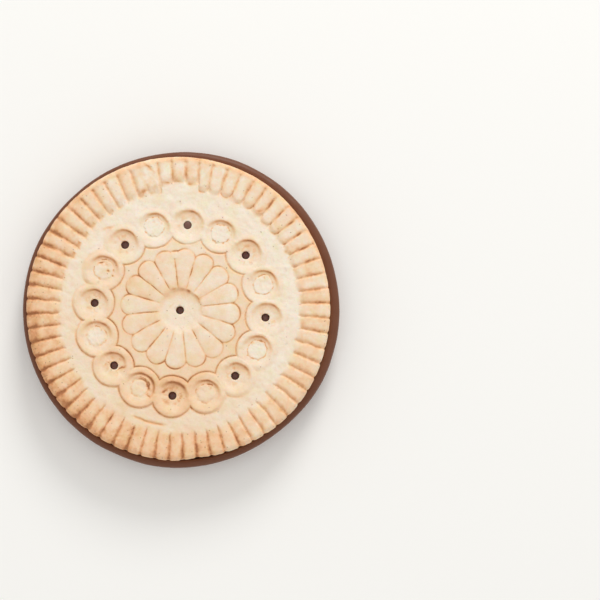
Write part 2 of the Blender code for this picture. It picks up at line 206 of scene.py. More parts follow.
def ribs(p):
    """Height, browning and painted shade of the ribs, at points from the stamp's centre, and 1 on the ribs, 0 on the
    band.
    """
    r, angle = polar_of(p)
    pitch = 360 / RIBS
    at, drift = np.array(GROOVE_DRIFT).T
    turned = (angle - np.interp((angle + 45) % 360 - 45, at, drift)) % 360
    rib = np.floor(turned / pitch) % RIBS
    groove = np.round(turned / pitch) % RIBS
    rib_a, rib_b = own_random(rib, 5), own_random(rib, 9)
    groove_a, groove_b = own_random(groove, 6), own_random(groove, 10)
    wander = 0.1 * noise(np.column_stack([groove * 7.3, r]), 1.7, 32)
    beside = r * np.sin(np.radians(folded(turned, pitch))) + wander
    from_groove = np.abs(beside)
    across = r * math.sin(math.radians(pitch / 2)) - from_groove
    shaded = smooth(0.5 + 0.9 * np.sin(np.radians(LIGHT_FROM - angle)) * np.sign(beside))  # 1 on the wall that looks away from the light: wider there, with painted shade

    flush = facing(angle, 45, 85)  # towards the upper right the ribs are flat bars in thin lines
    curled = facing(angle, 62, 66)  # their inner ends are round here
    hooked = facing(angle, 137, 48)  # the grooves' inner ends turn clockwise here
    toasted = facing(angle, 200, 110)
    opening = np.clip(1.3 * facing(angle, 255, 85), 0, 1)  # towards the bottom the grooves widen outwards
    short = within(angle, SHORT_RIBS, 8.5)
    merged = within(angle, MISSING_GROOVE, 2.6)

    start = RIB_START + 0.3 * rib_a + 0.5 * facing(angle, 55, 60) + 0.4 * opening + 1.25 * short
    start = start + 0.3 * merged
    round_end = RIB_CAP - np.sqrt(np.clip(RIB_CAP**2 - across**2, 0, None))
    from_end = r - start - round_end * (0.3 + 0.7 * curled)
    end_length = 0.9 + 1.4 * (1 - flush) + 1.4 * opening
    upward = smooth(1.6 * facing(angle, 75, 105))
    border = smooth((r + 0.25 * noise(p, 2, 3) - 30.1) / 0.6) * upward
    cut = (1 - 0.95 * border) * (1 - merged)
    cut = cut * smooth((r - start + 0.1 - 0.25 * groove_a) / (0.6 + 0.6 * opening))
    outwards = np.clip((r - 24.8) / 6, 0, 1)
    width = 0.27 + 0.15 * hooked
    width = width + (0.12 + 0.26 * outwards - width) * opening
    width = width * (1 + 0.18 * groove_b + 0.22 * noise(p, 1.0, 33) + 0.12 * noise(p, 0.45, 36))
    width = width * (0.72 + 0.7 * shaded)
    depth = (0.18 + 0.08 * (1 - flush) + 0.08 * opening - 0.06 * hooked) * (0.85 + 0.35 * outwards)
    depth = depth * (1 + 0.2 * groove_a)

    height = RIB_RISE * (1 - 0.4 * flush - 0.35 * opening) * smooth(from_end / end_length)
    pillow = 0.12 * (1 - flush) * (1 - np.clip(from_groove / 1.2, 0, 1)) ** 2 * (0.4 + 0.6 * shaded)
    height -= (depth * bell(from_groove, width) + pillow) * cut
    smudge = np.clip(0.25 + 0.8 * rib_b + 0.9 * noise(p, 0.8, 8), 0, 1)
    # Painted shade on the ribs' round inner ends, whose walls look away from the light, with a shallow cut
    end_line = bell(from_end - 0.05, 0.23) * smooth(curled * 1.5) * (1 - short) * smudge
    height -= 0.09 * end_line
    lumps = within(angle, MISSING_GROOVE, 3.5, 3) * smooth((r - 24) / 1.5)
    height += 0.1 * lumps * layered(p, 1.2, 17)

    tops = 0.33 - 0.15 * facing(angle, 95, 115) + 0.17 * facing(angle, 200, 80) + 0.16 * facing(angle, 262, 70)
    tops += 0.08 * rib_a + 0.17 * layered(p, 1.5, 18) + 0.09 * noise(p, 0.4, 19)
    tops += 0.3 * toasted * smooth((r - 28) / 2.4)
    tops += 0.05 * lumps
    past = smooth((from_end + 0.5 + 0.4 * noise(p, 0.8, 90)) / (1.2 + 0.7 * (1 - flush)))
    line = bell(from_groove, width * 1.05) * cut * np.clip(0.85 + 0.35 * noise(p, 0.8, 31) + 0.15 * groove_b, 0, 1)
    line *= (0.65 + 0.65 * outwards) * (1 - 0.6 * upward * smooth((r - 29) / 1.0))
    golden = smooth((r - 25.8) / 3.0) * (1 - 0.6 * smooth((r - 28.2) / 1.6))
    line_brown = 0.16 + 0.6 * flush * golden + 0.15 * opening
    line_brown += (0.15 * hooked + 0.07 * facing(angle, 168, 32)) * (0.4 + outwards)
    brown_and_shade = tops * past + line_brown * line
    # Painted shade along the grooves, most on the wall that looks away from the light, and where they hook
    brown_and_shade += (0.05 + 0.06 * shaded + 0.07 * flush) * bell(from_groove, width + 0.35) * cut
    brown_and_shade += 0.13 * hooked * bell(beside + 0.12, 0.42) * cut
    brown_and_shade += 0.45 * end_line
    # Where the grooves hook, painted shade on the ribs' inner ends, with a shallow cut
    hook = bell(r - start - 0.2 + 0.25 * beside, 0.38) * smooth((0.4 - beside) / 0.4) * hooked * (1 - short)
    hook = hook * (1 - bell(from_groove, width + 0.15) * cut)
    brown_and_shade += 0.9 * hook * np.clip(0.8 + 0.4 * groove_b, 0, 1) * (1 - 0.3 * past)
    height -= 0.1 * hook
    # Painted shade on the outer edge towards the top, where the light catches its rounded corner
    brown_and_shade += 0.42 * upward * (1 - 0.5 * facing(angle, 112, 40)) * smooth((r - 29.8) / 1.0)
    return height, brown_and_shade, past


def cups(p, q):
    """The chain of cups: height, browning and painted shade, distance from the cup's centre, and how strong its
    outer outline and the painted shade on it are.

    p is the true place, for what isn't part of the stamp.
    """
    along, across, number = in_sector(q, STAMP_TURN)
    from_centre = np.hypot(along - CHAIN_RADIUS, across)
    pierced = number % 2 == 0
    r, angle = polar_of(q)
    around = np.degrees(np.arctan2(across, along - CHAIN_RADIUS)) + STAMP_TURN + number * 360 / SECTORS
    crisp = np.clip(1.4 * facing(angle, 232, 125), 0, 1)  # the chain stands out more towards the lower left
    twin = (number == TWIN_CUP) * np.clip(1.6 * facing(around, 35, 110), 0, 1)  # this one was struck twice
    # upper is the side of a cup towards the light, lower the side away from it; walls that look away from the light
    # get painted shade
    upper, lower = np.maximum(facing(around, LIGHT_FROM, 120), 0.9 * twin), facing(around, 225, 115)
    outer = along > CHAIN_RADIUS
    foot = np.where(outer, 1.5 - 1.1 * crisp, 0.35)
    crown = np.where(outer, 0.12 + (CUP_HEIGHT - 0.12) * crisp, FIELD_HEIGHT)
    crown = crown + (FIELD_HEIGHT - crown) * smooth((CHAIN_RADIUS + 2.2 - along) / 4.4)
    height = crown * smooth((CUP_RADIUS - from_centre) / foot)
    height += 0.07 * bell(from_centre - 3.5, 0.45) * (0.2 + 0.8 * upper)

    # The dimple is steep on one side only
    aside = own_random(number, 85), own_random(number, 86)
    in_dimple = np.hypot(along - CHAIN_RADIUS - 0.16 * aside[0], across - 0.16 * aside[1])
    edge_at = CUP_EDGE + 0.1 * noise(p, 2.6, 34) + 0.1 * own_random(number, 35)
    gentle = 0.32 + 1.5 * (1 - upper)
    wall = smooth((edge_at + gentle / 2 - in_dimple) / gentle)
    bowl = 0.34 * wall + 0.2 * (1 - np.clip(in_dimple / 2.6, 0, 1) ** 2)
    lip = 1 - 0.5 * crisp * (1 - upper)  # how broken the edge of a plain cup's floor is
    ragged = PLUG_RADIUS + 0.18 * noise(p, 0.7, 11) + 0.1 * noise(p, 0.3, 12)
    on_plug = smooth((ragged - in_dimple) / (0.14 + 0.8 * (1 - lip)))
    plug = 0.34 * wall - 0.07 * on_plug + 0.06 * bell(in_dimple - ragged - 0.1, 0.13) * lip
    plug += on_plug * (0.03 * noise(p, 0.9, 13) + 0.01 * noise(p, 0.4, 16))
    plug -= 0.26 * twin * (bell(in_dimple - 2.25, 0.24) - bell(in_dimple - 1.65, 0.2))
    height -= np.where(pierced, bowl, plug)

    brown_and_shade = 0.12 + 0.1 * crisp - 0.04 * facing(angle, 95, 45) + 0.07 * layered(p, 2.2, 37)
    # The first term, browner towards the bottom, is painted shade
    brown_and_shade += 0.16 * facing(angle, 265, 60) + 0.1 * facing(angle, 152, 20)
    brown_and_shade += 0.12 * bell(from_centre - 3.6, 0.6) * crisp
    # Painted shade on the dimple's wall on the side towards the light, which looks away from it, and a soft band of
    # it further in
    crescent_shade = bell(in_dimple - edge_at - 0.02, 0.3) * (0.04 + 0.5 * upper) * (1 - 0.15 * crisp)
    brown_and_shade += crescent_shade * (0.9 + 0.3 * noise(p, 1.4, 39))
    brown_and_shade += 0.23 * bell(in_dimple - edge_at + 0.6, 0.6) * upper
    brown_and_shade += twin * (0.5 * bell(in_dimple - 1.7, 0.2) - 0.1 * bell(in_dimple - 2.25, 0.24))
    blush = smooth(1.4 * noise(p, 1.1, 38)) * wall * bell(from_centre - 1.5, 0.8)
    stain = smooth((noise(p, 0.7, 88) + 0.4 * noise(p, 0.3, 89) - 0.3) / 0.3) * bell(from_centre - 1.6, 0.55)
    brown_and_shade += np.where(pierced, 0.1 * blush + 0.3 * stain, -0.1 * on_plug)
    crumbs = bell(in_dimple - ragged - 0.06, 0.13) * smooth(noise(p, 0.6, 14) * 2.5) * lip
    crumbs += 0.7 * smooth((noise(p, 0.42, 87) - 0.5) / 0.15) * on_plug * upper * bell(in_dimple - 1.5, 0.7)
    brown_and_shade += np.where(~pierced, 0.65 * crumbs, 0)
    for crack in range(3):
        lean = folded(around - 180 * own_random(number, 80 + crack) + 22 * noise(p, 0.8, 84), 360)
        aside = from_centre * np.sin(np.radians(lean))
        fissure = bell(aside, 0.07) * (np.abs(lean) < 90) * bell(from_centre - 1.5, 0.5) * crisp
        brown_and_shade += np.where(pierced, 0.35 * fissure, 0)
        height -= np.where(pierced, 0.06 * fissure, 0)
    from_joint = r * math.sin(math.radians(180 / SECTORS)) - np.abs(across)
    # The outer outline is strongest where its wall looks away from the light: painted shade
    outline = crisp * (0.25 + 0.75 * lower) * (0.9 + 0.3 * noise(p, 1.3, 15)) * (1 + 0.5 * bell(from_joint, 0.4))
    return height, brown_and_shade, from_centre, outline


def petals(p):
    """Distances from the rosette's middle, inside the petals' outline, and from the line between two petals."""
    p = p - ROSETTE_AT
    along, across, _ = in_sector(p, STAMP_TURN)
    half = math.radians(180 / SECTORS)
    cusp = np.array([PETAL_CUSP * math.cos(half), PETAL_CUSP * math.sin(half)])
    tip_at = (PETAL_TIP**2 - cusp @ cusp) / (2 * (PETAL_TIP - cusp[0]))
    tip_radius = PETAL_TIP - tip_at
    r, angle = polar_of(p)
    side = np.abs(r * np.sin(half - np.abs(np.arctan2(across, along))))
    inside = tip_radius - np.hypot(along - tip_at, across)
    joined = within(angle, 96.2, 3.6, 1)  # two petals share one tip here
    inside = np.maximum(inside, (11.85 - r) * joined - 9 * (1 - joined))
    inside = np.where(r < tip_at, 9.0, inside)
    side = side + 9 * joined * (r > 10.3)
    return r, angle, inside, side, along


def rosette(p, q):
    """Height, browning and painted shade of the hub, the petals and the field round them."""
    r, angle, inside, side, along = petals(q)
    outline = np.abs(inside)
    between = np.where(r < PETAL_CUSP + 0.1, side, 9.0)
    upper = facing(angle, 65, 85)  # the hub's wall is sharp here, on the side towards the light, and gets painted shade as it looks away from it
    fine = LINE_WIDTH * (1 + 0.3 * noise(p, 1.6, 24))
    lines = np.maximum(bell(outline, fine), bell(between, fine * 0.9))
    lines *= smooth((r - HUB_RADIUS - 0.1 + 0.2 * upper) / 0.9)
    strength = 0.78 + 0.6 * noise(p, 1.4, 21) - 0.75 * within(angle, 79, 3, 2) * (r > 11.0)
    lines = lines * np.clip(strength, 0.2, 1)
    knots = bell(r - PETAL_CUSP, 0.32) * bell(side, 0.28)
    rise = smooth((r - HUB_RADIUS + 0.2) / (1.7 - 1.15 * upper) + 0.25)
    dome = 0.07 * smooth(np.minimum(outline, side) / 1.0) * (inside > 0) * rise
    bowl = HUB_DEPTH * (1 - 0.3 * np.clip(r / HUB_RADIUS, 0, 1) ** 2)
    height = np.where(inside > 0, PETAL_HEIGHT, FIELD_HEIGHT) * rise + (PETAL_HEIGHT - bowl) * (1 - rise)
    height = height + dome - 0.17 * lines
    from_pale = np.hypot(*(q - ROSETTE_AT - HUB_PALE_AT).T) + 0.25 * noise(p, 1.5, 26)
    petal_tone = smooth((from_pale - HUB_PALE_RADIUS + 0.5) / 1.1)
    brown_and_shade = np.where(inside > 0, 0.1 + 0.15 * petal_tone, 0.31 - 0.12 * facing(angle, 100, 120))
    brown_and_shade -= 0.06 * petal_tone * facing(angle, 70, 90)
    mottle = 0.17 * layered(p, 2.6, 22) + 0.06 * noise(p, 0.6, 29) + 0.08 * facing(angle, 152, 50)
    brown_and_shade += petal_tone * (inside > 0) * mottle
    brown_and_shade += 0.68 * lines * (0.9 + 0.3 * noise(p, 2.2, 23)) + 0.24 * knots
    brown_and_shade += 0.1 * bell(np.minimum(outline, between + 0.1), 0.42) * smooth((r - HUB_RADIUS - 0.3) / 1.2)
    # Painted shade on the hub's wall on the side towards the light: a broken line and a soft band
    patchy = np.clip(0.5 + 0.8 * noise(p, 1.0, 27), 0.1, 1) * facing(angle, 58, 78) ** 0.5
    brown_and_shade += 0.55 * bell(along - HUB_RADIUS - 0.1 + 0.2 * noise(p, 0.8, 28), 0.13 + 0.13 * patchy) * patchy
    brown_and_shade += 0.24 * bell(r - HUB_RADIUS + 0.2, 0.8) * upper
    return height, brown_and_shade


def stamp(p):
    """Height over the plain band, browning with painted shade from 0 to 1, and how many pores, at points from the
    stamp's centre.
    """
    wobble = np.column_stack([layered(p, 6.5, 41, 2), layered(p, 6.5, 43, 2)]) * 0.13
    wobble += np.column_stack([noise(p, 1.3, 45), noise(p, 1.3, 46)]) * 0.045
    q = p + wobble
    r, angle = polar_of(q)
    rib_height, rib_brown_and_shade, past = ribs(q)
    cup_height, cup_brown_and_shade, from_cup, cup_outline_shade = cups(p, q)
    rose_height, rose_brown_and_shade = rosette(p, q)

    on_cup = from_cup < CUP_RADIUS
    inside_chain = r < CHAIN_RADIUS
    on_rose = inside_chain & ~on_cup
    scallop = bell(from_cup - CUP_RADIUS, LINE_WIDTH * 1.15) * inside_chain
    scallop = scallop * (1 - 0.9 * within(angle, 80, 6, 4)) * np.clip(0.85 + 0.4 * noise(p, 1.9, 25), 0.2, 1)
    band_brown = 0.05 + 0.14 * facing(angle, 205, 100) + 0.17 * facing(angle, 275, 70)
    band_brown = band_brown + 0.07 * layered(p, 2.5, 51)
    band_height = 0.06 * layered(p, 1.7, 52) + 0.03 * noise(p, 0.6, 53)

    # The cups' outer outline: a shallow groove with painted shade where its wall looks away from the light
    outer_line_shade = bell(from_cup - CUP_RADIUS, 0.21) * cup_outline_shade * ~inside_chain
    height = np.where(on_rose, rose_height, np.where(on_cup, cup_height, 0)) - 0.18 * scallop - 0.1 * outer_line_shade
    brown_and_shade = np.where(on_rose, rose_brown_and_shade, np.where(on_cup, cup_brown_and_shade, band_brown))
    brown_and_shade = brown_and_shade + 0.46 * scallop + 0.5 * outer_line_shade
    brown_and_shade += 0.1 * bell(from_cup - CUP_RADIUS, 0.55) * inside_chain
    on_rib = r > 22.5
    height = np.where(on_rib, rib_height, height)
    brown_and_shade = np.where(on_rib, band_brown * (1 - past) + rib_brown_and_shade, brown_and_shade)
    height = height + np.where(on_rose, 0.35, 1 - 0.65 * past) * band_height

    crease = bell(r - CREASE_RADIUS, 0.26) * within(angle, CREASE_FACING, 7.5, 4)
    height -= 0.16 * crease
    brown_and_shade += 0.5 * crease
    smeared = p + 0.3 * np.column_stack([noise(p, 0.9, 65), noise(p, 0.9, 66)])
    for x, y, half_long, half_wide, lean, strength in SMEARS:
        turned = (smeared - (x, y)) @ np.array([place(1, lean), place(1, lean + 90)]).T
        smear = strength * np.exp(-((turned[:, 0] / half_long) ** 2) - (turned[:, 1] / half_wide) ** 2)
        height -= 0.1 * smear
        brown_and_shade += smear
    height += 0.09 * noise(p, 9, 55) + 0.025 * layered(p, 0.9, 56)
    brown_and_shade += 0.05 * layered(p, 3.1, 57)
    ribbed = smooth((r - 25) / 3)
    pores = 0.14 + 0.62 * ribbed * facing(angle, 215, 95) + 0.2 * ribbed * smooth((r - 28.5) / 2)
    return height, brown_and_shade, pores


# ---------------------------------------------------------------- meshes


def ring(centre, radius, count):
    angles = np.linspace(0, TURN, count, endpoint=False)
    return centre + radius * np.column_stack([np.cos(angles), np.sin(angles)])


def hex_grid(radius, spacing, rng):
    """Evenly scattered points over a disc, a little jittered."""
    rows = int(radius / (spacing * 0.866)) + 1
    columns = int(radius / spacing) + 2
    y, x = np.mgrid[-rows : rows + 1, -columns : columns + 1].astype(float)
    x = (x + 0.5 * (y % 2)) * spacing
    y = y * spacing * 0.866
    points = np.column_stack([x.ravel(), y.ravel()])
    points += rng.uniform(-0.18, 0.18, points.shape) * spacing
    return points[np.hypot(*points.T) < radius - 0.4 * spacing]


class Raster:
    """A field over a disc, worked out once on a square grid of points."""

    def __init__(self, values_of, radius, cell=0.11):
        self.cell = cell
        self.middle = int(radius / cell) + 4
        axis = (np.arange(2 * self.middle + 1) - self.middle) * cell
        x, y = np.meshgrid(axis, axis, indexing="ij")
        self.value = values_of(np.column_stack([x.ravel(), y.ravel()])).reshape(x.shape)

    def read(self, field, points):
        index = np.round(points / self.cell).astype(int) + self.middle
        index = np.clip(index, 0, 2 * self.middle)
        return field[index[:, 0], index[:, 1]]

    def bend(self, spread=2):
        """How sharply the field bends, as a grid in which each sharp place has spread to its neighbours."""
        value = self.value
        bend = np.zeros_like(value)
        around = value[2:, 1:-1] + value[:-2, 1:-1] + value[1:-1, 2:] + value[1:-1, :-2]
        bend[1:-1, 1:-1] = np.abs(around - 4 * value[1:-1, 1:-1])
        for axis in (0, 1):
            for _ in range(spread):
                bend = np.maximum(bend, np.maximum(np.roll(bend, 1, axis), np.roll(bend, -1, axis)))
        return bend

    def slope(self, direction):
        """How steeply the field rises towards a direction in degrees."""
        along_x, along_y = np.gradient(self.value, self.cell)
        return along_x * math.cos(math.radians(direction)) + along_y * math.sin(math.radians(direction))


def scatter(raster, radius, levels, rng):
    """Points that lie closer where the raster's field bends. levels are (spacing, least bend), the finest first."""
    bend = raster.bend()
    found = []
    most = np.inf
    for spacing, least in levels:
        points = hex_grid(radius, spacing, rng)
        here = raster.read(bend, points)
        found.append(points[(here >= least) & (here < most)])
        most = least
    return np.concatenate(found)


def triangulated(points, loops):
    """Delaunay triangles over points and closed loops. Returns all points, triangles, and the index of each loop."""
    verts = list(points)
    edges = []
    ranges = []
    for outline in loops:
        first = len(verts)
        verts.extend(outline)
        edges.extend((first + i, first + (i + 1) % len(outline)) for i in range(len(outline)))
        ranges.append(np.arange(first, len(verts)))
    made, _, faces, origins, *_ = delaunay_2d_cdt([Vector(v) for v in verts], edges, [], 0, 1e-6)
    made = np.array(made)
    new_index = np.full(len(verts), -1)
    for index, sources in enumerate(origins):
        new_index[list(sources)] = index
    return made, anticlockwise(made, np.array(faces)), [new_index[r] for r in ranges]


def anticlockwise(points, faces):
    a, b, c = (points[faces[:, i]] for i in range(3))
    u, v = b - a, c - a
    flip = u[:, 0] * v[:, 1] - u[:, 1] * v[:, 0] < 0
    faces = faces.copy()
    faces[flip] = faces[flip][:, ::-1]
    return faces


def away_from(points, centres, distance):
    """A mask of the points that lie further than this from every centre."""
    keep = np.ones(len(points), bool)
    for centre in centres:
        keep &= np.hypot(*(points - centre).T) > distance
    return keep


class Builder:
    """Collects vertices and triangles of one closed mesh."""

    def __init__(self):
        self.verts = []
        self.faces = []
        self.count = 0

    def add(self, points):
        self.verts.append(points)
        first = self.count
        self.count += len(points)
        return np.arange(first, self.count)

    def bridge(self, lower, upper):
        """Two rings of equal length that run anticlockwise from above, with faces that look away from their axis."""
        after = np.roll(np.arange(len(lower)), -1)
        self.faces.append(np.column_stack([lower, lower[after], upper[after]]))
        self.faces.append(np.column_stack([lower, upper[after], upper]))

    def make(self, name, material, values=()):
        points = np.concatenate(self.verts)
        faces = np.concatenate(self.faces)
        used = np.unique(faces)
        index = np.full(len(points), -1)
        index[used] = np.arange(len(used))
        mesh = bpy.data.meshes.new(name)
        mesh.from_pydata((points[used] * MM).tolist(), [], index[faces].tolist())
        for label, value in dict(values).items():
            mesh.attributes.new(label, "FLOAT", "POINT").data.foreach_set("value", value[used].astype(np.float32))
        mesh.shade_smooth()
        mesh.materials.append(material)
        made = bpy.data.objects.new(name, mesh)
        bpy.context.scene.collection.objects.link(made)
        return made


# ---------------------------------------------------------------- biscuit

CORNER = 0.75
EDGE_OUT = 0.2  # how far the ribs stand out of the side wall
FLAT = BISCUIT_RADIUS - EDGE_OUT - CORNER
WALL_TOP = FLAT + CORNER * math.pi / 2
WALL = FACE_Z - CORNER - BISCUIT_FOOT - 0.5
FOOT_CORNER = 0.5
SHEET_RADIUS = WALL_TOP + WALL + FOOT_CORNER * math.pi / 2
SKIN_LEVELS = ((0.152, 0.035), (0.245, 0.0135), (0.46, -1))  # point spacing, and the least bend that it is for
RIM_SIDES = 480
HOLE_SIDES = 20


def hole_places():
    """The pierced holes, from the biscuit's centre: the middle one, and one in every other cup."""
    cups_at = [place(HOLE_CIRCLE, STAMP_TURN + k * 360 / SECTORS) for k in range(0, SECTORS, 2)]
    return [STAMP_AT + at for at in [np.zeros(2), *cups_at]]


def rounded_profile(s):
    """Radius and height of the plain biscuit at distance s along its skin from the middle, and its normal."""
    top = np.clip((s - FLAT) / CORNER, 0, math.pi / 2)
    foot = np.clip((s - WALL_TOP - WALL) / FOOT_CORNER, 0, math.pi / 2)
    down = np.clip(s - WALL_TOP, 0, WALL)
    radius = np.minimum(s, FLAT) + CORNER * np.sin(top) - 0.04 * down - FOOT_CORNER * (1 - np.cos(foot))
    z = FACE_Z - CORNER * (1 - np.cos(top)) - down - FOOT_CORNER * np.sin(foot)
    turn = top + foot
    return radius, z, np.sin(turn), np.cos(turn)


def skin_height(points, height):
    """Height over the plain skin, with the side's own roughness in place of the stamp."""
    s = np.hypot(*points.T)
    _, z, _, _ = rounded_profile(s)
    down = smooth((s - WALL_TOP) / 1.6)
    space = np.column_stack([points * (BISCUIT_RADIUS / np.maximum(s, BISCUIT_RADIUS))[:, None], z])
    rough = 0.1 * layered(space, 1.7, 61) + 0.12 * noise(space, 7, 62)
    height = height * (1 - down) + rough * smooth((s - FLAT) / 1.5) * (0.4 + 0.6 * down)
    return height, down, space


def on_stamp(points):
    """Places on the stamp for points of the unrolled skin. The side takes those at the rim."""
    s = np.maximum(np.hypot(*points.T), 1e-9)
    return points * (np.minimum(s, BISCUIT_RADIUS + 0.2) / s)[:, None] - STAMP_AT


def relief(points):
    return skin_height(points, stamp(on_stamp(points))[0])[0]


def biscuit_skin(points, raster):
    """The biscuit's top and side, its browning with painted shade, and its pores. points lie on the unrolled skin.
    """
    s = np.maximum(np.hypot(*points.T), 1e-9)
    direction = points / s[:, None]
    _, angle = polar_of(points)
    stamped, brown_and_shade, pores = stamp(on_stamp(points))
    height, down, space = skin_height(points, stamped)
    radius, z, outward, upward = rounded_profile(s)
    # Painted shade on walls that rise towards the light, and so look away from it
    steep = np.clip(raster.read(raster.slope(LIGHT_FROM), points), 0, None) * (s < FLAT)
    brown_and_shade = brown_and_shade + 0.26 * steep / (steep + 0.5)
    brown_and_shade = brown_and_shade * (1 - down) + (0.5 + 0.12 * layered(space, 2, 63)) * down
    swell = 0.16 * facing(angle, 62, 62) - 0.05 * facing(angle, 150, 14) + 0.4 * facing(angle, 320, 32)
    swell += 0.2 * facing(angle, 267, 9) - 0.2 * facing(angle, 278, 7)
    radius = radius + height * outward * 0.6 + swell * smooth((s - FLAT + 1.5) / 2)
    made = np.column_stack([BISCUIT_AT + direction * radius[:, None], z + height * upward])
    return made, np.clip(brown_and_shade, 0, 1), pores + 0.2 * down


def make_biscuit(material):
    rng = np.random.default_rng(7)
    holes = hole_places()
    raster = Raster(relief, SHEET_RADIUS)
    points = scatter(raster, SHEET_RADIUS, SKIN_LEVELS, rng)
    points = points[away_from(points, holes, HOLE_RADIUS + 0.08)]
    mouths_at = [ring(at, HOLE_RADIUS, HOLE_SIDES) for at in holes]
    made, faces, (edge, *mouths) = triangulated(points, [ring(np.zeros(2), SHEET_RADIUS, RIM_SIDES), *mouths_at])
    keep = away_from(made[faces].mean(axis=1), holes, HOLE_RADIUS * 0.97)
    body = Builder()
    skin, brown_and_shade, pores = biscuit_skin(made, raster)
    body.add(skin)
    body.faces.append(faces[keep])
    browns = [brown_and_shade]

    floor_made, floor_faces, (floor_edge, *feet) = triangulated([], [skin[edge][:, :2] - BISCUIT_AT, *mouths_at])
    keep = away_from(floor_made[floor_faces].mean(axis=1), holes, HOLE_RADIUS * 0.97)
    floor = body.add(np.column_stack([floor_made + BISCUIT_AT, np.full(len(floor_made), BISCUIT_FOOT)]))
    browns.append(np.full(len(floor_made), 0.4))
    body.faces.append(floor[floor_faces[keep]][:, ::-1])
    body.bridge(floor[floor_edge], edge)
    for mouth, foot in zip(mouths, feet):
        upper = mouth
        for depth in (0.25, 1.0, 2.2):
            level = skin[mouth] - (0, 0, depth)
            lower = body.add(level)
            browns.append(np.full(len(level), 0.6))
            body.bridge(upper, lower)
            upper = lower
        body.bridge(upper, floor[foot])
    brown_and_shade = np.concatenate(browns)
    pores = np.concatenate([pores, np.full(len(brown_and_shade) - len(pores), 0.3)])
    return body.make("biscuit_baked", material, {"brown_and_shade": brown_and_shade, "pores": pores})


# ---------------------------------------------------------------- chocolate

RIM_RADIUS = TRAY_RADIUS - 1.15
RIM_WIDTH = 1.7
RIM_ROUND = 0.35
PANEL_DEPTH = 0.6
PANEL_BEVEL = 0.6
FLOWER_PETALS = 8
FLOWER_INNER, FLOWER_OUTER, FLOWER_TIP = 5.2, 17.0, 4.0
FLOWER_EYE = 3.4
BEADS, BEAD_CIRCLE, BEAD_RADIUS = 24, 23.5, 1.1
ORNAMENT_HEIGHT = 0.35
PEG_DEPTH = 1.5  # of the chocolate in the biscuit's holes, under the face
HIGH_PEG, HIGH_PEG_DEPTH = 3, 0.35  # the hole where it comes nearly to the face


def drop_distance(along, across, far_at, far_radius, near_at, near_radius):
    """How far inside a drop a point is: two circles on one line and the straight sides between them."""
    lean = (far_radius - near_radius) / (far_at - near_at)
    share = np.clip((along - near_at + lean * np.abs(across)) / (far_at - near_at), 0, 1)
    centre = near_at + share * (far_at - near_at)
    return near_radius + share * (far_radius - near_radius) - np.hypot(along - centre, across)


def panel_height(points):
    """Z of the chocolate's underside."""
    r, angle = polar_of(points)
    panel = PANEL_DEPTH * smooth((RIM_RADIUS - RIM_WIDTH - r) / PANEL_BEVEL)
    away = np.radians(folded(angle, 360 / FLOWER_PETALS))
    small = FLOWER_TIP * 0.3
    shape = (FLOWER_OUTER - FLOWER_TIP, FLOWER_TIP, FLOWER_INNER + small, small)
    inside = drop_distance(r * np.cos(away), r * np.sin(away), *shape)
    inside = np.maximum(inside, FLOWER_EYE - r)
    bead = np.radians(folded(angle - 180 / BEADS, 360 / BEADS))
    from_bead = np.hypot(r * np.cos(bead) - BEAD_CIRCLE, r * np.sin(bead))
    inside = np.maximum(inside, BEAD_RADIUS - from_bead)
    return panel - ORNAMENT_HEIGHT * smooth(inside / 0.5)


def wall_profile():
    """(radius, z, how far it follows the biscuit) round the chocolate's side, from the rim to the biscuit's wall."""
    inner = BISCUIT_RADIUS - EDGE_OUT + 0.1
    flat = RIM_RADIUS - RIM_ROUND
    points = [(flat + RIM_ROUND * math.sin(a), RIM_ROUND * (1 - math.cos(a)), 0) for a in np.linspace(0.3, 1.35, 4)]
    start, lip_low = np.array(points[-1][:2]), np.array([TRAY_RADIUS - 0.34, 3.85])
    points += [(*(start * (1 - t) + lip_low * t), 0) for t in np.linspace(0.15, 1, 6)]
    points += [(TRAY_RADIUS - 0.12, 4.05, 0), (TRAY_RADIUS - 0.02, 4.3, 0)]
    for a in np.linspace(0, math.pi * 0.5, 9):
        points.append((TRAY_RADIUS - 1.0 + 1.0 * math.cos(a), 4.65 + (TRAY_TOP - 4.65) * math.sin(a), a / math.pi))
    points += [(inner + 0.22, TRAY_TOP - 0.05, 0.9), (inner + 0.05, TRAY_TOP - 0.18, 1), (inner, TRAY_TOP - 0.6, 1)]
    points += [(inner, BISCUIT_FOOT + 0.5, 1), (inner, BISCUIT_FOOT, 1)]
    return points


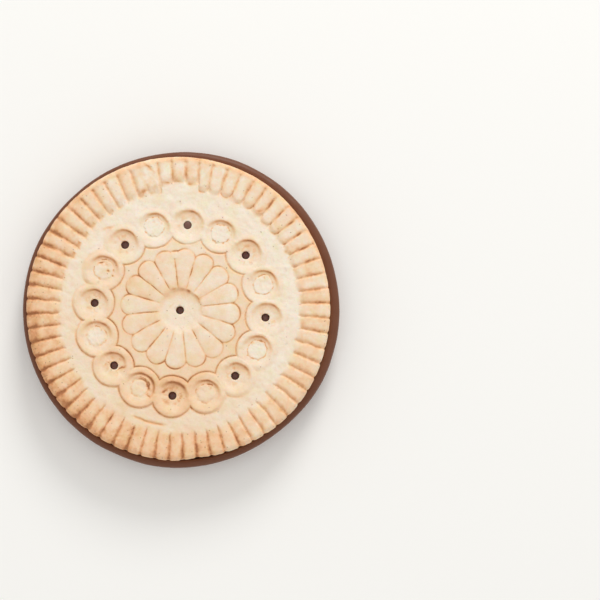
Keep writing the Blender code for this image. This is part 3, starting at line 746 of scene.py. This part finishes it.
def make_chocolate(material):
    rng = np.random.default_rng(11)
    body = Builder()
    inner_radius = RIM_RADIUS - RIM_ROUND
    raster = Raster(panel_height, inner_radius)
    points = scatter(raster, inner_radius, ((0.16, 0.012), (0.35, 0.004), (0.8, -1)), rng)
    made, faces, (edge,) = triangulated(points, [ring(np.zeros(2), inner_radius, RIM_SIDES)])
    on_rim = np.hypot(*made.T) > RIM_RADIUS - RIM_WIDTH
    under_z = np.where(on_rim, 0, np.maximum(panel_height(made) + 0.012 * noise(made, 6, 71), 0))
    under = body.add(np.column_stack([made, under_z]))
    body.faces.append(under[faces][:, ::-1])
    lower = under[edge]
    outward = ring(np.zeros(2), 1, RIM_SIDES)
    _, angle = polar_of(outward)
    swell = 0.35 * facing(angle, 62, 50) - 0.5 * facing(angle, 303, 36) - 0.15 * facing(angle, 272, 25)
    swell += 0.18 * facing(angle, 155, 18) - 0.16 * facing(angle, 248, 12)
    for radius, z, follow in wall_profile():
        at = outward * radius
        space = np.column_stack([at, np.full(RIM_SIDES, z)])
        wave = swell + 0.06 * noise(space, 9, 72) + 0.03 * noise(space, 2.5, 73)
        lifted = 0.18 * noise(at, 5, 74) + 0.06 * noise(at, 1.6, 75)
        at = at + outward * (wave * smooth(z / 2) * (1 - follow))[:, None] + BISCUIT_AT * follow
        upper = body.add(np.column_stack([at, z + lifted * smooth((z - 4.4) / 0.8)]))
        body.bridge(lower, upper)
        lower = upper
    pegs = [BISCUIT_AT + at for at in hole_places()]
    peg_radius = HOLE_RADIUS - 0.03
    top = np.concatenate(body.verts)[lower][:, :2]
    peg_rings = [ring(at, peg_radius, HOLE_SIDES) for at in pegs]
    floor_made, floor_faces, (floor_edge, *feet) = triangulated([], [top, *peg_rings])
    keep = away_from(floor_made[floor_faces].mean(axis=1), pegs, peg_radius * 0.97)
    floor = body.add(np.column_stack([floor_made, np.full(len(floor_made), BISCUIT_FOOT - 0.05)]))
    body.faces.append(floor[floor_faces[keep]])
    body.bridge(lower, floor[floor_edge])
    # The chocolate seen in the holes gets a pale grey tint, a painted reflection, weaker on the peg near the face
    hole_sheen = [np.zeros(body.count)]
    for number, (at, foot) in enumerate(zip(pegs, feet)):
        first = body.count
        lower = floor[foot]
        peg_top = FACE_Z - (HIGH_PEG_DEPTH if number == HIGH_PEG else PEG_DEPTH) + 0.2 * rng.uniform(-1, 1)
        for shrink, z in ((1, peg_top - 0.3), (0.93, peg_top - 0.1), (0.6, peg_top), (0.2, peg_top + 0.03)):
            level = ring(at, peg_radius * shrink, HOLE_SIDES)
            upper = body.add(np.column_stack([level, np.full(HOLE_SIDES, z)]))
            body.bridge(lower, upper)
            lower = upper
        centre = body.add(np.array([[*at, peg_top + 0.04]]))
        body.faces.append(np.column_stack([lower, np.roll(lower, -1), np.full(HOLE_SIDES, centre[0])]))
        hole_sheen.append(np.full(body.count - first, 0.45 if number == HIGH_PEG else 1.0))
    return body.make("chocolate_base", material, {"hole_sheen": np.concatenate(hole_sheen)})


# ---------------------------------------------------------------- materials


class Shader:
    """A material's node tree, with short calls for its nodes."""

    def __init__(self, name):
        self.material = bpy.data.materials.new(name)
        self.material.use_nodes = True
        self.tree = self.material.node_tree
        self.principled = self.tree.nodes["Principled BSDF"]
        self.place = self.node("ShaderNodeTexCoord").outputs["Object"]

    def node(self, kind, settings=(), **inputs):
        made = self.tree.nodes.new(kind)
        for key, value in dict(settings).items():
            setattr(made, key, value)
        for key, value in inputs.items():
            self.feed(made.inputs[key.replace("_", " ")], value)
        return made

    def feed(self, socket, value):
        if isinstance(value, bpy.types.NodeSocket):
            self.tree.links.new(value, socket)
        else:
            socket.default_value = value

    def attribute(self, name):
        return self.node("ShaderNodeAttribute", {"attribute_name": name}).outputs["Fac"]

    def math(self, operation, a, b=0.0, clamp=False):
        made = self.node("ShaderNodeMath", {"operation": operation, "use_clamp": clamp})
        self.feed(made.inputs[0], a)
        self.feed(made.inputs[1], b)
        return made.outputs[0]

    def noise(self, scale, detail=2.0, roughness=0.5, output="Fac"):
        made = self.node("ShaderNodeTexNoise", Vector=self.place, Scale=scale, Detail=detail, Roughness=roughness)
        return made.outputs[output]

    def uneven(self, scale, amount, detail=3.0):
        """Noise round 0, between about plus and minus half the amount."""
        return self.math("MULTIPLY", self.math("SUBTRACT", self.noise(scale, detail, 0.6), 0.5), amount)

    def dots(self, scale, radius, share):
        """Ragged dots, one at most in each cell of 1 / scale metres. radius is in cells, and share says how many."""
        bent = self.node("ShaderNodeVectorMath", {"operation": "MULTIPLY_ADD"})
        self.feed(bent.inputs[0], self.noise(scale * 2.5, 2, 0.6, "Color"))
        self.feed(bent.inputs[1], (0.5 / scale,) * 3)
        self.feed(bent.inputs[2], self.place)
        cells = self.node("ShaderNodeTexVoronoi", Vector=bent.outputs[0], Scale=scale)
        near = self.math("MULTIPLY", self.math("SUBTRACT", radius, cells.outputs["Distance"]), 9.0, clamp=True)
        pick = self.node("ShaderNodeSeparateColor", Color=cells.outputs["Color"]).outputs[0]
        return self.math("MULTIPLY", near, self.math("LESS_THAN", pick, share))

    def ramp(self, factor, stops):
        made = self.node("ShaderNodeValToRGB", Fac=factor)
        elements = made.color_ramp.elements
        while len(elements) < len(stops):
            elements.new(0.5)
        for element, (position, colour) in zip(elements, stops):
            element.position = position
            element.color = colour
        return made.outputs["Color"]

    def mix(self, factor, a, b, blend="MIX"):
        made = self.node("ShaderNodeMix", {"data_type": "RGBA", "blend_type": blend})
        self.feed(made.inputs["Factor"], factor)
        self.feed(made.inputs[6], a)
        self.feed(made.inputs[7], b)
        return made.outputs[2]

    def bump(self, height, distance, strength=1.0):
        return self.node("ShaderNodeBump", Strength=strength, Distance=distance, Height=height).outputs["Normal"]

    def set(self, **inputs):
        for key, value in inputs.items():
            self.feed(self.principled.inputs[key.replace("_", " ")], value)


def shown(red, green, blue):
    """A colour as a screen shows it, from 0 to 255, as the linear values that a shader takes."""
    parts = [c / 255 for c in (red, green, blue)]
    return (*(c / 12.92 if c <= 0.04045 else ((c + 0.055) / 1.055) ** 2.4 for c in parts), 1.0)


def baked_dough():
    s = Shader("baked_dough")
    mottle = s.uneven(650, 0.2, 4.0)
    fine = s.uneven(2600, 0.16)
    # This attribute holds the baked browning together with the painted shade
    level = s.math("ADD", s.math("ADD", s.attribute("brown_and_shade"), mottle), fine, clamp=True)
    colour = s.ramp(
        level,
        (
            (0.0, shown(247, 235, 218)),
            (0.2, shown(245, 223, 198)),
            (0.4, shown(244, 212, 177)),
            (0.6, shown(240, 196, 155)),
            (0.78, shown(227, 173, 127)),
            (0.92, shown(205, 145, 101)),
            (1.0, shown(182, 123, 83)),
        ),
    )
    pinkish, plain, yellowish = (1, 0.955, 0.94, 1), (1, 1, 1, 1), (0.965, 0.985, 0.9, 1)
    for scale, strength in ((330, 0.75), (1050, 0.7)):
        tint = s.ramp(s.noise(scale, 3, 0.55), ((0.34, pinkish), (0.5, plain), (0.66, yellowish)))
        colour = s.mix(strength, colour, tint, "MULTIPLY")
    pores = s.dots(1150, 0.2, s.attribute("pores"))
    colour = s.mix(s.math("MULTIPLY", pores, 0.62), colour, shown(168, 120, 84))
    flecks = s.dots(420, 0.16, 0.3)
    colour = s.mix(s.math("MULTIPLY", flecks, 0.2), colour, shown(158, 142, 122))
    height = s.math("ADD", s.math("MULTIPLY", mottle, 5.0), s.math("MULTIPLY", fine, 4.0))
    height = s.math("SUBTRACT", height, s.math("MULTIPLY", pores, 0.8))
    s.set(Base_Color=colour, Roughness=0.8, Normal=s.bump(height, 0.00006, 0.8))
    s.set(Subsurface_Weight=0.2, Subsurface_Radius=(1.0, 0.55, 0.3), Subsurface_Scale=0.0004)
    s.set(Specular_IOR_Level=0.25)
    return s.material


def milk_chocolate():
    s = Shader("milk_chocolate")
    cloud = s.noise(160, 3, 0.5)
    fine = s.noise(1500, 4, 0.6)
    colour = s.mix(s.math("MULTIPLY", cloud, 0.6), shown(110, 66, 42), shown(127, 79, 56))
    colour = s.mix(s.math("MULTIPLY", fine, 0.25), colour, shown(92, 52, 31))
    # Pale grey tint on the chocolate in the holes: painted reflection
    colour = s.mix(s.math("MULTIPLY", s.attribute("hole_sheen"), 0.85), colour, shown(122, 100, 101))
    height = s.math("ADD", s.math("MULTIPLY", fine, 0.4), cloud)
    rough = s.math("ADD", s.math("MULTIPLY", cloud, 0.12), 0.4)
    s.set(Base_Color=colour, Roughness=rough, Normal=s.bump(height, 0.00003, 0.5))
    s.set(Subsurface_Weight=0.1, Subsurface_Radius=(1.0, 0.5, 0.3), Subsurface_Scale=0.0008)
    s.set(Specular_IOR_Level=0.3)
    return s.material


def pale_floor():
    s = Shader("pale_floor")
    tone = s.mix(s.noise(6, 2), shown(251, 250, 247), shown(253, 252, 249))
    s.set(Base_Color=tone, Roughness=0.9, Specular_IOR_Level=0.1)
    return s.material


# ---------------------------------------------------------------- stage, camera, light

PHOTO_SIZE = 600  # pixels, each way
COOKIE_AT = (181.4, 309.9)  # pixels: the middle of the chocolate
PIXEL = 2 * TRAY_RADIUS / (2 * 158.2)  # millimetres
DISTANCE = 500.0
ELEVATION = 86.0
FLOOR_HALF = 1.2  # metres
KEY_DIRECTION, KEY_ELEVATION, KEY_DISTANCE = 76, 30, 0.9


def make_stage():
    mesh = bpy.data.meshes.new("floor")
    corners = [(-FLOOR_HALF, -FLOOR_HALF, 0), (FLOOR_HALF, -FLOOR_HALF, 0)]
    corners += [(FLOOR_HALF, FLOOR_HALF, 0), (-FLOOR_HALF, FLOOR_HALF, 0)]
    mesh.from_pydata(corners, [], [(0, 1, 2, 3)])
    mesh.materials.append(pale_floor())
    floor = bpy.data.objects.new("floor", mesh)
    bpy.context.scene.collection.objects.link(floor)


def aim(thing, at, target):
    thing.location = at
    thing.rotation_euler = (Vector(target) - Vector(at)).to_track_quat("-Z", "Y").to_euler()


def make_camera():
    data = bpy.data.cameras.new("camera")
    data.sensor_width = 36.0
    data.lens = data.sensor_width * DISTANCE / (PHOTO_SIZE * PIXEL)
    camera = bpy.data.objects.new("camera", data)
    bpy.context.scene.collection.objects.link(camera)
    tilt = math.radians(ELEVATION)
    right = (PHOTO_SIZE / 2 - COOKIE_AT[0]) * PIXEL
    up = (COOKIE_AT[1] - PHOTO_SIZE / 2) * PIXEL
    plane_z = 5.0
    target = np.array([right, up / math.sin(tilt), plane_z])
    at = target + DISTANCE * np.array([0, -math.cos(tilt), math.sin(tilt)])
    aim(camera, Vector(at * MM), Vector(target * MM))
    bpy.context.scene.camera = camera


def make_light(name, direction, elevation, distance, size, power, colour):
    data = bpy.data.lights.new(name, "AREA")
    data.shape = "DISK"
    data.size = size
    data.energy = power
    data.color = colour
    light = bpy.data.objects.new(name, data)
    bpy.context.scene.collection.objects.link(light)
    height = distance * math.sin(math.radians(elevation))
    x, y = place(distance * math.cos(math.radians(elevation)), direction)
    aim(light, (x, y, height), (0, 0, 0))


def make_lights():
    make_light("key", KEY_DIRECTION, KEY_ELEVATION, KEY_DISTANCE, 0.35, 3.5, (1.0, 0.99, 0.97))
    world = bpy.data.worlds.new("studio")
    world.use_nodes = True
    background = world.node_tree.nodes["Background"]
    background.inputs["Color"].default_value = (1.0, 0.997, 0.985, 1)
    background.inputs["Strength"].default_value = 0.76
    bpy.context.scene.world = world
    bpy.context.scene.view_settings.view_transform = "Standard"


make_stage()
make_camera()
make_lights()

biscuit = make_biscuit(baked_dough())
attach(biscuit, "root")
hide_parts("biscuit")

chocolate = make_chocolate(milk_chocolate())
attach(chocolate, "root")
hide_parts("chocolate_tray")

for piece in (biscuit, chocolate):
    print(piece.name, len(piece.data.polygons), "triangles")
